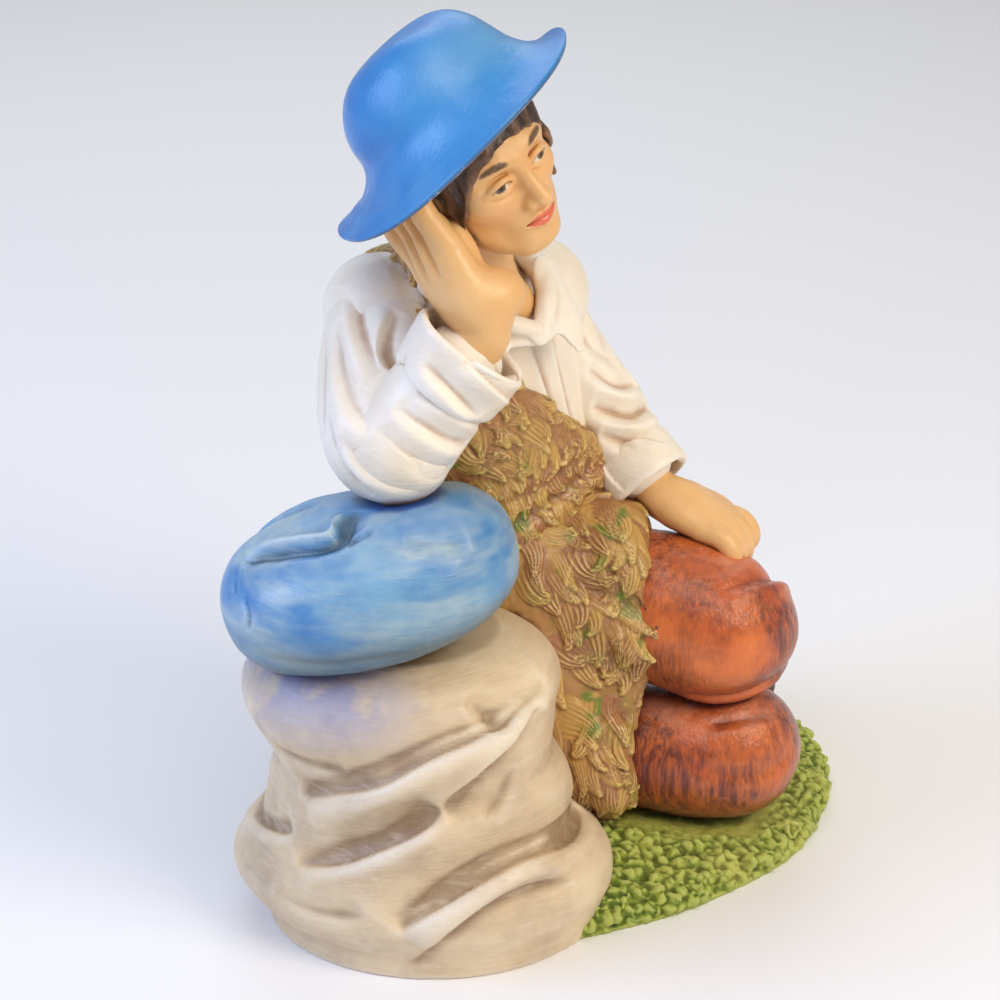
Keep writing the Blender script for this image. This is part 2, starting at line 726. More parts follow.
# The fleece over the hips, from the ground to the waist, given like the torso's rings.
HIP_RINGS = [
    (10, -9, -10, 49, 42),
    (10, -9, 16, 50, 43),
    (12, -13, 55, 48, 46),
    (11, -14, 85, 47, 44),
    (7, -8, 112, 42, 36),
    (5, -5, 124, 39, 32),
    (4, -4, 134, 34, 28),
]


def skirt_field(p):
    """The fleece below the waist: it lies over the hips and both thighs, and ends in a hem at the knees."""
    hips = stack(p, stations(TORSO, *HIP_RINGS), TORSO_ACROSS)
    upper = limb(p, stations(UPPER_KNEE, (-44, 46, 14, 29), (-28, 32, 16, 28), (-13, 15, 8, 29)))
    lower = limb(p, stations(LOWER_KNEE, (-44, 50, 8, 29), (-37, 28, 2, 27), (-29, 18, -2, 21)))
    middle = limb(p, [*stations(UPPER_KNEE, (-30, 26, -6, 20)), *stations(LOWER_KNEE, (-32, 24, 14, 20))])
    body = blend(blend(blend(hips, upper, 9), lower, 9), middle, 6)
    # The hem waves, and it is drawn in towards the ground.
    z = p[:, 2]
    hem = (p - UPPER_KNEE) @ HEM_WAY + 29 + 0.25 * np.maximum(30 - z, 0) + 1.5 * np.sin(z / 7.0)
    # It reaches furthest over the top of the upper knee.
    hem = hem - 9 * np.exp(-(((z - UPPER_KNEE[2] - 8) / 20) ** 2))
    return -blend(-body, -hem, 7)


def scatter(candidates, gap, keep):
    """Those of the candidates that are wanted and lie at least a gap apart, from the lowest up."""
    candidates = candidates[keep(candidates)]
    free = np.ones(len(candidates), bool)
    spots = []
    for index, spot in enumerate(candidates):
        if free[index]:
            spots.append(spot)
            free &= ((candidates - spot) ** 2).sum(1) > gap * gap
    return sorted(spots, key=lambda spot: spot[2])


LOCK_STEPS = 7


def lock_line(spot, v, n, angle, curl, long):
    """The middle line of a lock that leaves at an angle from straight down, and curls as it goes."""
    line = [spot]
    for step in range(LOCK_STEPS):
        here = line[-1]
        out = n[np.argmin(length(v - here))]
        down = np.cross(np.cross(out, -UP + 1e-3), out)
        down = down / max(np.linalg.norm(down), 1e-9)
        way = down * math.cos(angle) + np.cross(out, down) * math.sin(angle)
        ahead = here + way * long / LOCK_STEPS
        # It keeps close to the surface.
        line.append(v[np.argmin(length(v - ahead))] * 0.5 + ahead * 0.5)
        angle += curl * (0.2 + 0.25 * step)
    return np.array(line)


def lock_relief(v, n, line, wide, strands):
    """A lock's height from 0 to 1, low at the root and high at the hooked tip, and its strands."""
    distance, across, share = near_line(line, v, n)
    taper = wide * (1.1 - 0.95 * share**1.6)
    x = across / taper
    hollow = np.sqrt(np.clip(1 - x**2, 0, 1))
    comb = 0.5 + 0.5 * np.cos(strands * math.pi * x + 2.0 * share)
    height = (0.12 + 0.88 * share) * hollow**0.7 * (0.55 + 0.45 * comb)
    return height * np.clip((1.01 - share) * 8, 0, 1) * (distance < taper), comb * share


def make_locks(body, seed, gap, size, keep):
    """Covers clay with locks of wool that hang down over each other: their height, strands and tone."""
    rng = np.random.default_rng(seed)
    spots = scatter(body.verts[rng.permutation(len(body.verts))[:9000]], gap, keep)
    relief, strand = np.zeros(len(body.verts)), np.zeros(len(body.verts))
    tone = np.full(len(body.verts), 0.5)
    for spot in spots:
        near = np.flatnonzero((np.abs(body.verts - spot) < size * 2.0).all(1))
        v, n = body.verts[near], body.normal[near]
        swing = rough(spot[None], 30, seed + 3, 2)[0] * 1.9 + rng.normal(0, 0.35)
        side = -0.5 if rough(spot[None], 14, seed + 6, 1)[0] < 0 else 0.5
        curl = side * rng.uniform(0.1, 0.75)
        strands = rng.choice([4, 5, 6])
        line = lock_line(spot, v, n, swing, curl, size * rng.uniform(0.7, 1.4))
        height, combed = lock_relief(v, n, line, size * rng.uniform(0.20, 0.32), strands)
        over = height > relief[near]
        relief[near] = np.where(over, height, relief[near])
        strand[near] = np.where(over, combed, strand[near])
        tone[near] = np.where(over, 0.5 + 0.5 * math.sin(spot @ vec(0.9, 1.3, 2.1)), tone[near])
    return relief, strand, tone


def fleece(body, seed, gap, size, height, keep, free=1.0):
    """Clay with locks of wool: keep picks where they grow, and free is how far each vertex may rise."""
    relief, strand, tone = make_locks(body, seed, gap, size, keep)
    body.paint.update(strand=strand, tone=tone)
    body.push(height * free * (relief - 0.35) + 0.25 * rough(body.verts, 2.5, seed + 9, 2))
    body.smooth(1, 0.5)
    return body


WAIST_FOLDS = [
    ([(-32, 6, -2), (-10, 0, 2), (14, 0, 9), (38, 8, 16)], 4.0, 1.8, 0.7),
    ([(-32, 6, 7), (-10, 0, 11), (14, 0, 18), (38, 8, 25)], 4.0, 1.8, -0.4),
]
LAP_FOLDS = [
    ([(-66, -2, 34), (-50, -10, 22), (-34, -12, 14)], 6.0, 3.4, 0.8),
    ([(-64, -10, 14), (-48, -16, 4), (-36, -12, -6)], 6.0, 3.0, 0.8),
    ([(-58, -14, -8), (-46, -16, -16), (-34, -10, -22)], 5.0, 2.6, 0.6),
]
LOW_FOLD = ([(-62, 0, 24), (-50, -4, 8), (-42, -2, -12)], 5.0, 2.4, 0.6)
BACK_FOLDS = [
    ([(-14, 32, 100), (-18, 34, 60), (-26, 34, 22)], 7.0, 3.0, 0.6),
    ([(20, 32, 96), (24, 34, 58), (34, 32, 22)], 7.0, 3.0, -0.6),
]


def make_bodice():
    low, high = corners_of("fleece_bodice")
    body = clay(bodice_field, low - vec(14, 8, 4), high + vec(4, 6, 14), voxel=0.5)
    body.push(1.8 * rough(body.verts, 16, 61))
    press(body, at("fleece_bodice", 0.5, 0.0, 0.06), WAIST_FOLDS)
    return fleece(body, 62, 4.4, 13.0, 2.6, lambda p: rough(p, 22, 64, 2) > -0.24)


def make_skirt():
    def field(p):
        return np.maximum(skirt_field(p), -base_field(p) - 4)

    low, high = corners_of("fleece_skirt")
    body = clay(field, low - vec(4, 4, 2), high + vec(4, 4, 8), voxel=0.5)
    body.push(2.1 * rough(body.verts, 20, 71))
    press(body, UPPER_KNEE, LAP_FOLDS)
    press(body, LOWER_KNEE, [LOW_FOLD])
    press(body, TORSO, BACK_FOLDS)
    # Locks that lie inside a leg stay flat, so that no tip comes through the trousers.
    legs = np.minimum(left_leg_field(body.verts), right_leg_field(body.verts))
    free = np.clip(legs / 1.5 + 1, 0, 1)
    return fleece(body, 72, 5.0, 15.0, 2.9, lambda p: (p[:, 2] > 8) & (rough(p, 24, 74, 2) > -0.20), free)


# The collar's rolled band: points from NECK, and its radius.
COLLAR_BAND = [
    (3, -26, -4, 3.2), (-12, -20, 3, 3.6), (-20, -4, 9, 4.2), (-16, 12, 13, 4.4), (0, 19, 14, 4.4),
    (16, 13, 13, 4.4), (20, -3, 10, 4.2), (15, -17, 4, 3.8), (7, -25, -5, 3.2),
]  # fmt: skip


def lapel(p, side):
    """A pointed lapel, on the figure's left for side 1 and on its right for side -1."""
    root, point = NECK + vec(17 * side + 1, -10, 6), NECK + vec(16 * side + 5, -27, -13)
    q = flatten(p, point, vec(0.25 * side, -0.8, 0.5), 0.34)
    stem = limb(q, [(*root, 6.0), (*(root * 0.4 + point * 0.6), 6.6), (*point, 2.6)])
    tie = limb(q, [(*(root * 0.5 + point * 0.5), 5.5), *stations(NECK, (4, -26, -6, 3.4))])
    return blend(stem, tie, 3)


def make_collar():
    """A turned-down collar: a rolled band round the neck with two pointed lapels that meet in a V."""

    def field(p):
        band = limb(p, stations(NECK, *COLLAR_BAND), 5)
        return blend(band, blend(lapel(p, 1), lapel(p, -1), 1), 3)

    body = clay(field, *box_of(NECK, NECK + vec(0, -14, 0), room=vec(32, 30, 26)), voxel=0.45)
    body.smooth(2)
    return body


# ---- sleeves and cuffs ----


# Folds of the sleeves: points from the elbow, and for the forearm from its middle.
RIGHT_UPPER_FOLDS = [
    ([(16, 26, 26), (4, 12, 20), (8, -2, 12), (14, -10, 2)], 3.6, 3.0, 0.8),
    ([(-6, 34, 36), (-14, 14, 22), (-12, -4, 10)], 4.6, 1.8, 0.7),
    ([(12, 36, 40), (0, 20, 32), (-2, 6, 24)], 4.0, 2.2, 0.8),
    ([(-16, 6, 6), (-14, -8, -2), (-4, -18, -6)], 4.0, 1.8, 0.6),
    ([(-18, 16, 12), (-20, 4, 0), (-14, -6, -10)], 3.6, 1.4, -0.5),
    ([(-8, 40, 30), (-18, 28, 16), (-18, 18, 2)], 4.6, 1.6, 0.5),
]
RIGHT_FOREARM_FOLDS = [
    ([(-12, -8, 10), (-2, -16, 4), (12, -12, -6)], 3.4, 2.0, 0.8),
    ([(-14, -2, 2), (-6, -14, -6), (6, -14, -14)], 3.6, 1.8, 0.7),
    ([(8, -8, 14), (14, -8, 2), (14, 2, -8)], 3.6, 1.8, -0.6),
    ([(-12, 2, -8), (-8, -10, -18), (2, -14, -22)], 4.0, 1.4, 0.5),
]
LEFT_FOLDS = [
    ([(-12, -10, 26), (0, -14, 18), (12, -8, 14)], 3.4, 2.6, 0.9),
    ([(-14, -12, 12), (0, -18, 6), (14, -10, 4)], 3.4, 2.8, 0.9),
    ([(-12, -14, 2), (2, -20, -6), (14, -12, -8)], 3.2, 2.2, 0.8),
    ([(-10, -4, 40), (-2, -12, 30), (8, -10, 24)], 4.0, 1.6, 0.7),
    ([(16, 2, 18), (18, 8, 4), (10, 14, -8)], 3.8, 2.0, 0.6),
    ([(12, 20, 30), (16, 16, 14), (12, 16, 2)], 4.0, 1.8, 0.6),
]
LEFT_SHOULDER_FOLD = ([(12, -8, 6), (16, -14, -12), (12, -18, -26)], 5.0, 1.4, 0.5)


def sleeve(body, origin, folds):
    return cloth(body, origin, folds, 81, (0.3, 14), (0.05, 3))


def make_right_upper_sleeve():
    s, e = RIGHT_SHOULDER, RIGHT_ELBOW
    arm = [*stations(s, (6, 3, -2, 19), (-4, -8, -8, 21)), *stations(e, (2, 10, 3, 20.5), (0, 1, 0, 18.5))]
    body = clay(lambda p: limb(p, arm, 6), *box_of(s, e, room=26), voxel=0.6)
    return sleeve(body, e, RIGHT_UPPER_FOLDS)


def make_right_forearm_sleeve():
    e, w = RIGHT_ELBOW, RIGHT_WRIST
    arm = between(e, w, (0, 17.5), (0.3, 17), (0.55, 15.5), (0.7, 13.5))
    body = clay(lambda p: limb(p, arm, 6), *box_of(e, w, room=22), voxel=0.55)
    return sleeve(body, e + (w - e) * 0.4, RIGHT_FOREARM_FOLDS)


CUFF_THICKNESS = 3.4


def cuff_field(p, root, mouth, inner, outer):
    """A turned-back cuff: a flaring band of cloth, open towards the hand."""
    span = np.linalg.norm(mouth - root)
    along = (mouth - root) / span
    reach = (p - root) @ along
    off = p - root - np.outer(reach, along)
    side = np.cross(along, UP)
    spin = np.arctan2(off @ side, off @ np.cross(side, along))
    t = reach / span
    flare = np.clip(t, 0, 1)
    radius = inner + (outer - inner) * flare + 0.9 * np.sin(3 * spin + 0.7) * flare
    wall = np.abs(length(off) - radius) - CUFF_THICKNESS / 2
    ends = np.maximum(-t, t - 1) * span
    # The sleeve fills a little more than half of it.
    filled = np.maximum(length(off) - radius, np.maximum(-t, t - 0.55) * span)
    return blend(-blend(-wall, -ends, 2.5), filled, 1.5)


def make_cuff(elbow, wrist, start, stop, inner, outer, folds):
    """A cuff between two shares of the way from the elbow to the wrist, and its two radii."""
    root, mouth = elbow + (wrist - elbow) * start, elbow + (wrist - elbow) * stop

    def field(p):
        return cuff_field(p, root, mouth, inner, outer)

    body = clay(field, *box_of(root, mouth, room=outer + 5), voxel=0.45)
    return cloth(body, root, folds, 91, (0.35, 9), (0.05, 2.5))


def make_right_cuff():
    folds = [
        ([(-14, -8, 14), (-8, -16, 6), (0, -18, -4)], 2.8, 1.8, 0.8),
        ([(-6, -18, 16), (4, -20, 8), (12, -14, 0)], 2.8, 1.6, 0.8),
        ([(14, -14, 18), (16, -10, 8), (16, -2, 0)], 2.8, 1.6, -0.6),
        ([(-16, 2, 16), (-16, 6, 6), (-12, 8, -4)], 2.8, 1.4, 0.6),
    ]
    return make_cuff(RIGHT_ELBOW, RIGHT_WRIST, 0.52, 0.90, 16.5, 18.0, folds)


def make_left_cuff():
    folds = [
        ([(-8, -4, 14), (-2, -12, 10), (4, -14, 2)], 2.6, 1.5, 0.8),
        ([(10, -4, 12), (14, -8, 4), (12, -12, -6)], 2.6, 1.5, -0.7),
        ([(-14, -2, 4), (-10, -10, -4), (-4, -14, -8)], 2.6, 1.3, 0.6),
    ]
    return make_cuff(LEFT_ELBOW, LEFT_WRIST, 0.42, 0.86, 14.5, 15.8, folds)


def make_left_sleeve():
    s, e, w = LEFT_SHOULDER, LEFT_ELBOW, LEFT_WRIST
    upper = [*stations(s, (-4, 0, 0, 18), (5, -7, -18, 16.5)), *stations(e, (0, 1, 5, 15))]
    fore = [*stations(e, (0, 1, 2, 15)), *between(e, w, (0.3, 15.5), (0.5, 14.5))]

    def field(p):
        return blend(limb(p, upper, 6), limb(p, fore, 6), 6)

    body = clay(field, *box_of(s, e, w, room=22), voxel=0.55)
    press(body, e, LEFT_FOLDS)
    return sleeve(body, s, [LEFT_SHOULDER_FOLD])


# ---- hands ----


def hand_axes(along, out):
    """A hand's axes: from the wrist to the fingertips, across the fingers, and out of its palm."""
    fan = np.cross(along, out)
    return np.stack([along, fan / np.linalg.norm(fan), out])


def on_hand(wrist, axes, *rows):
    """Stations given as lengths along the hand's axes from the wrist, and a radius."""
    return [(*(wrist + vec(*row[:3]) @ axes), row[3]) for row in rows]


def add_fingers(p, hand, wrist, axes, pitch, finger):
    """The hand with four fingers, each from its number and how far across the hand it lies."""
    for i in range(4):
        rows = on_hand(wrist, axes, *finger(i, (1.5 - i) * pitch))
        hand = blend(hand, limb(p, rows, 4), 1.3)
    return hand


def make_right_hand():
    """The hand that the cheek rests on: its fingers stand up beside the face."""
    w, pitch = RIGHT_WRIST, 5.4
    along, cheek = vec(-0.32, 0.46, 0.83), vec(0.80, 0.08, 0.10)
    axes = hand_axes(along, cheek)
    start = w + (RIGHT_ELBOW - w) * 0.3

    def finger(i, side):
        return [
            (30, side, 0, 4.4),
            (42, side * 1.03, -1.5, 4.2),
            (52, side * 0.95, 1.5 * (0.9 + 0.1 * i), 3.8),
            (58 - abs(i - 1.3) * 2.2, side * 0.85, 4, 3.1),
        ]

    def field(p):
        arm = limb(p, [(*start, 9.5), (*w, 8.6), *stations(w, (-2, 3, 9, 9.4))], 5)
        root = (*(w + along * 10 + vec(3, 0, 0)), 9.5)
        palm = [root, *on_hand(w, axes, (22, 0, 0, 12.2), (33, 0, 0, 11.2))]
        palm = limb(flatten(p, w + along * 22, cheek, 0.62), palm)
        heel = ball(p, w + vec(5, -1, 12), vec(8.5, 8, 7.5))
        hand = add_fingers(p, blend(blend(arm, palm, 8), heel, 6), w, axes, pitch, finger)
        thumb = on_hand(w, axes, (14, -2, 5, 5.6), (24, -2, 10, 4.8), (33, -2, 12, 4.0))
        return blend(hand, limb(p, thumb), 3)

    body = clay(field, *box_of(w, w + along * 62, start, room=18), voxel=0.4)
    for i in range(3):  # grooves between the fingers
        groove = on_hand(w, axes, *[(reach, (1.0 - i) * pitch, -8, 0) for reach in (20, 30, 42, 54)])
        body.stroke([row[:3] for row in groove], 1.5, 1.7, ends=0.3)
    body.smooth(2)
    return body


def make_left_hand():
    """The hand that lies on the upper knee."""
    w = LEFT_WRIST + vec(1, 3, 1)
    start = w + (LEFT_ELBOW - w) * 0.4
    along = vec(0.42, -0.84, -0.34)
    across = np.cross(along, UP)
    across = across / np.linalg.norm(across)
    back = np.cross(across, along)
    axes = np.stack([along, across, back])

    def finger(i, side):
        return [
            (22, side, 0, 4.2),
            (30, side * 1.08, 1.2, 4.1),
            (35, side * 1.12, -2.5, 3.7),
            (38 - abs(i - 1.6) * 2.5, side * 1.12, -8, 3.0),
        ]

    def field(p):
        arm = limb(p, [(*start, 9.0), (*w, 8.0), *on_hand(w, axes, (8, 0, 0, 8.2))], 5)
        palm = on_hand(w, axes, (8, 0, 0, 9.0), (16, 0, 0, 11.5), (24, 0, 0, 11.0))
        palm = limb(flatten(p, w + along * 16, back, 0.6), palm)
        hand = add_fingers(p, blend(arm, palm, 7), w, axes, 5.2, finger)
        thumb = on_hand(w, axes, (10, -8, 0, 5.0), (20, -14, -2, 4.4), (29, -15, -5, 3.6))
        return blend(hand, limb(p, thumb), 3)

    body = clay(field, *box_of(start, w, w + along * 44, room=20), voxel=0.45)
    body.smooth(2)
    return body


# ---- head and hair ----

HEAD_TURN = turn(-4, -24, 6)  # the head leans on the hand


def in_head(p):
    """Points in the head's own frame: +Z is the crown, -Y the face."""
    return (p - HEAD) @ HEAD_TURN


def mirrored(points, side):
    """Points of the figure's left, for side 1, or the same on its right, for side -1."""
    return [(side * x, *rest) for x, *rest in points]


EYE = (8.2, -16.6, 0.4)
EYE_RADIUS = 4.4
IRIS_ANGLE, PUPIL_ANGLE = 28, 14  # degrees from the middle of the gaze
LIPS_LINE = [
    (-5.2, -21.8, -16.2), (-2.8, -24, -16.1), (0, -24.6, -16.5), (2.8, -24, -16.1), (5.2, -21.8, -16.2),
]  # fmt: skip
BROW_LINE = [(3.4, -22.0, 6.2), (8.0, -22.2, 8.0), (12.4, -19.4, 7.4), (15.2, -15.6, 5.4)]
UPPER_LID = [
    (3.6, -19.6, -0.8), (5.6, -21.0, 1.4), (8.4, -21.5, 2.4), (11.2, -20.2, 1.6), (13.0, -17.6, -0.6),
]  # fmt: skip
LOWER_LID = [
    (3.6, -19.6, -0.8), (5.8, -20.5, -1.9), (8.4, -20.8, -2.4), (11.0, -19.8, -1.9), (13.0, -17.6, -0.6),
]  # fmt: skip
MOUTH_LINE = [
    (-6.6, -21.0, -16.2), (-3.2, -23.9, -15.9), (0, -24.7, -16.1), (3.2, -23.9, -15.9), (6.6, -21.0, -16.2),
]  # fmt: skip


def skull(q, grow=0.0):
    """The head's broad masses: cranium, face, cheekbones and jaw."""
    cranium = ball(q, vec(0, 4, 8), vec(20.5, 25, 22) + grow)
    face = ball(q, vec(0, -5, -5), vec(17.2, 17.2, 24) + grow)
    body = blend(cranium, face, 8)
    jaw = [(14.5, -1, -10, 5 + grow), (11.5, -8, -18.5, 5 + grow), (5, -14.5, -24.5, 4.6 + grow)]
    for side in (-1, 1):
        body = blend(body, ball(q, vec(10.6 * side, -13.2, -5.5), vec(6.5, 5.6, 5) + grow), 6)
        body = blend(body, limb(q, mirrored(jaw, side)), 6)
    return blend(body, ball(q, vec(0, -16.2, -24.6), vec(6.8, 5.4, 4.8) + grow), 5)


def eye_field(q, body, side):
    """The head with the brow, the socket, the eyeball and both lids of one side."""
    brow = limb(q, mirrored([(3.2, -19.6, 4.8, 2.4), (8.5, -19.4, 6.6, 2.6), (13.5, -15.2, 5.6, 2.4)], side))
    body = blend(body, brow, 5)
    body = cut(body, ball(q, vec(8.0 * side, -23.6, 0.2), vec(6.4, 5.2, 4.4)), 4)
    body = blend(body, ball(q, vec(EYE[0] * side, *EYE[1:]), np.full(3, EYE_RADIUS)), 0.4)
    for lid, radius in ((UPPER_LID, 1.15), (LOWER_LID, 0.95)):
        body = blend(body, limb(q, [(x * side, y, z, radius) for x, y, z in lid], 4), 1.1)
    return body


def nose_field(q, body):
    """The head with its nose and nostrils."""
    bridge = [(0, -19.8, 4.4, 2.6), (0, -22.2, 0.4, 2.2), (0, -24.6, -4.4, 2.4), (0, -26.4, -8.4, 3.0)]
    ridge = limb(q, bridge, 4)
    body = blend(body, ridge, 3.2)
    for side in (-1, 1):
        body = blend(body, ball(q, vec(3.2 * side, -23.8, -9.6), vec(2.3, 2.6, 2.1)), 1.6)
        body = cut(body, ball(q, vec(1.9 * side, -25.4, -11.6), vec(1.0, 1.5, 1.0)), 0.8)
    return body


def mouth_field(q, body):
    """The head with its lips, and with the hollow between them and the chin."""
    upper_lip = [(-6.2, -20.6, -15.9, 0.9), (-2.6, -23.2, -14.7, 1.5), (0, -23.7, -15.1, 1.3),
                 (2.6, -23.2, -14.7, 1.5), (6.2, -20.6, -15.9, 0.9)]  # fmt: skip
    lower_lip = [(-5.6, -20.8, -16.8, 0.9), (0, -22.9, -18.0, 1.9), (5.6, -20.8, -16.8, 0.9)]
    chin_hollow = [(-3.6, -24.4, -21.4, 1.4), (0, -25.2, -21.6, 1.6), (3.6, -24.4, -21.4, 1.4)]
    body = blend(blend(body, limb(q, upper_lip, 4), 1.6), limb(q, lower_lip, 6), 1.6)
    body = cut(body, limb(q, [(*spot, 0.4) for spot in MOUTH_LINE], 4), 0.9)
    return cut(body, limb(q, chin_hollow, 4), 3)


def head_field(p):
    q = in_head(p)
    body = blend(skull(q), ball(q, vec(0, -17.2, -15.6), vec(8.6, 5.8, 7.2)), 5)
    for side in (-1, 1):
        body = eye_field(q, body, side)
    body = mouth_field(q, nose_field(q, body))
    for side in (-1, 1):
        ear = ball(q, vec(19.4 * side, 3.5, -4.5), vec(3.2, 5.6, 8.4), turn(10, 0, 14 * side))
        bowl = ball(q, vec(22.6 * side, 2.2, -3.8), vec(2.6, 3.4, 5.4))
        body = blend(body, cut(ear, bowl, 1.5), 1.5)
    return body


def streak(q, line, widths, side=1, steps=4):
    """1 on a painted line in the head's frame, fading to 0 at its edge."""
    d = limb(q, [(x * side, y, z, wide) for (x, y, z), wide in zip(line, widths)], steps)
    return np.clip(0.5 - d / 0.5, 0, 1)


def lid_height(line, out):
    """The height of a lid at these distances from the middle of the face."""
    return np.interp(out, [x for x, _, _ in line], [z for _, _, z in line])


def eye_paint(q, side):
    """Where the white, the iris and the pupil of one eye are painted."""
    off = q - vec(EYE[0] * side, *EYE[1:])
    out = side * q[:, 0]
    below = lid_height(UPPER_LID, out) - q[:, 2]
    above = q[:, 2] - lid_height(LOWER_LID, out)
    between_lids = np.clip(below / 0.4, 0, 1) * np.clip(above / 0.4, 0, 1)
    white = between_lids * (np.abs(length(off) - EYE_RADIUS) < 0.35) * (off[:, 1] < -2.0)
    gaze = vec(0.3 * side + 0.06, -1, -0.05)
    seen = off / np.maximum(length(off), 1e-6)[:, None] @ (gaze / np.linalg.norm(gaze))
    angle = np.degrees(np.arccos(np.clip(seen, -1, 1)))
    iris, pupil = (white * np.clip((reach - angle) / 4, 0, 1) for reach in (IRIS_ANGLE, PUPIL_ANGLE))
    return white, iris, pupil


def brow_paint(q, side):
    """Where one brow is painted, with fine gaps between its hairs."""
    hairs = 0.25 * np.sin(q[:, 0] * 9 * side + q[:, 2] * 5) + 0.3 * noise(q, 0.9, 101)
    return np.clip(streak(q, BROW_LINE, (0.7, 1.15, 0.95, 0.4), side, 5) * (1.1 + hairs), 0, 1)


def make_head():
    body = clay(head_field, HEAD - 34, HEAD + 34, voxel=0.34)
    body.smooth(1, 0.5)
    q = in_head(body.verts)
    front = q[:, 1] < -8
    eyes = [eye_paint(q, side) for side in (-1, 1)]
    for key, pair in zip(("white", "iris", "pupil"), zip(*eyes)):
        body.paint[key] = np.maximum(*pair)
    lash_line = [(x, y - 0.4, z - 0.75) for x, y, z in UPPER_LID]
    lashes = [streak(q, lash_line, (0.3, 0.55, 0.65, 0.6, 0.3), side, 5) for side in (-1, 1)]
    body.paint["lash"] = np.maximum(*lashes) * front
    body.paint["brow"] = np.maximum(*[brow_paint(q, side) for side in (-1, 1)]) * front
    body.paint["lips"] = streak(q, LIPS_LINE, (0.9, 2.0, 2.3, 1.9, 0.9)) * front
    body.paint["mouth"] = streak(q, MOUTH_LINE, [0.35] * len(MOUTH_LINE)) * front
    blush = sum(np.exp(-(length((q - vec(11 * s, -15, -8)) / vec(6, 7, 5)) ** 2)) for s in (-1, 1))
    body.paint["blush"] = np.clip(blush, 0, 1)
    return body


def hair_field(p):
    q = in_head(p)
    nape = ball(q, vec(0, 15, -11), vec(18.5, 12.5, 15))
    body = blend(skull(q, 2.2), nape, 5)
    body = cut(body, ball(q, vec(0, -20, -10), vec(21, 26, 23)), 1.5)  # leaves the face free
    ears = np.minimum(*[ball(q, vec(21 * s, 1, -8), vec(6, 9, 11)) for s in (-1, 1)])
    return np.maximum(cut(body, ears, 2), -(q[:, 2] + 17))


def make_hair():
    body = clay(hair_field, HEAD - 36, HEAD + 38, voxel=0.45)
    q = in_head(body.verts)
    round_head = np.arctan2(q[:, 0], q[:, 1] - 4)
    wave = round_head * 15 + 0.2 * q[:, 2] + 4.5 * noise(q, 13, 111) + 1.6 * noise(q, 5, 113)
    comb = 0.5 + 0.5 * np.cos(wave)
    body.push(0.8 * (comb - 0.5) + 1.3 * rough(q * vec(1, 1, 0.35), 4, 112))
    body.paint["strand"] = comb
    return body


def make_neck():
    def field(p):
        column = limb(p, stations(NECK, (2, 2, -10, 15), (-3, -3, 14, 12.5), (-8, -5, 30, 12.5)), 5)
        chest = ball(p, NECK + vec(3, -13, -1), vec(10, 7, 9))
        cord = limb(p, stations(NECK, (3, -13, -1, 1.6), (-2, -13, 14, 2.2), (-12, -12, 26, 2.4)))
        return blend(blend(column, chest, 8), cord, 4)

    body = clay(field, *box_of(NECK, NECK + vec(-8, -5, 30), room=20), voxel=0.5)
    body.smooth(2)
    return body


# ---- the hat ----

HAT_AXIS = vec(-0.46, 0.50, 0.73)
HAT_PROFILE = [
    (0.0, 36.5), (8.0, 36.4), (15.5, 35.2), (21.0, 32.0), (25.5, 26.5), (29.0, 19.5), (32.0, 12.5),
    (36.0, 6.5), (41.0, 2.6), (46.5, 0.2),
]  # fmt: skip
HAT_THICKNESS = 2.4


def hat_axes():
    """The hat's own X, Y and Z: Z is its axis, and X points to the wearer's left."""
    z = HAT_AXIS / np.linalg.norm(HAT_AXIS)
    x = np.cross(vec(0, 1, 0.2), z)
    x = x / np.linalg.norm(x)
    return np.stack([x, np.cross(z, x), z], 1)


def hat_section():
    """Half of the felt's section, from the crown down the outside, round the brim and up the lining."""
    outer = curve(HAT_PROFILE, max(3, int(12 / COARSE)))
    slope = np.gradient(outer, axis=0)
    inward = np.stack([slope[:, 1], -slope[:, 0]], 1) / np.hypot(*slope.T)[:, None]
    lining = outer + inward * HAT_THICKNESS
    lining[:, 0] = np.maximum(lining[:, 0], 0)
    half = HAT_THICKNESS / 2
    turns = np.linspace(0, math.pi, 9)[1:-1]
    lip = [outer[-1] + vec(math.sin(a), 0) * half + inward[-1] * (half - half * math.cos(a)) for a in turns]
    edge = len(outer) - 1 + len(lip) / 2
    return np.vstack([outer[1:], lip, lining[::-1][:-1]]), edge


def hat_shape(r, h, angle):
    """Points in the hat's own frame, from a radius, a height and an angle round its axis."""
    brim = np.clip((r - 29) / 18, 0, 1)
    h = h + brim**1.5 * (3.2 * np.cos(2 * angle + 0.5) + 1.6 * np.sin(3 * angle + 0.4))
    across = ((r * np.cos(angle) - 12) / 9) ** 2 + ((r * np.sin(angle) + 12) / 13) ** 2
    h = h - 2.2 * np.exp(-across) * (h > 8)
    r = r * (1 + 0.03 * np.cos(2 * angle + 1.1) * np.clip(h / 30, 0, 1))
    # The crown is pinched above the brim on the wearer's right, and leans to the left.
    pinch = np.exp(-(((h - 11) / 8) ** 2)) * np.clip(-np.cos(angle), 0, 1) * (r < 40)
    r = r * (1 - 0.12 * pinch)
    lean = 4.0 * np.clip(h / 36, 0, 1)
    return np.stack([r * np.cos(angle) + lean, r * np.sin(angle) - lean * 0.2, h], -1), lean


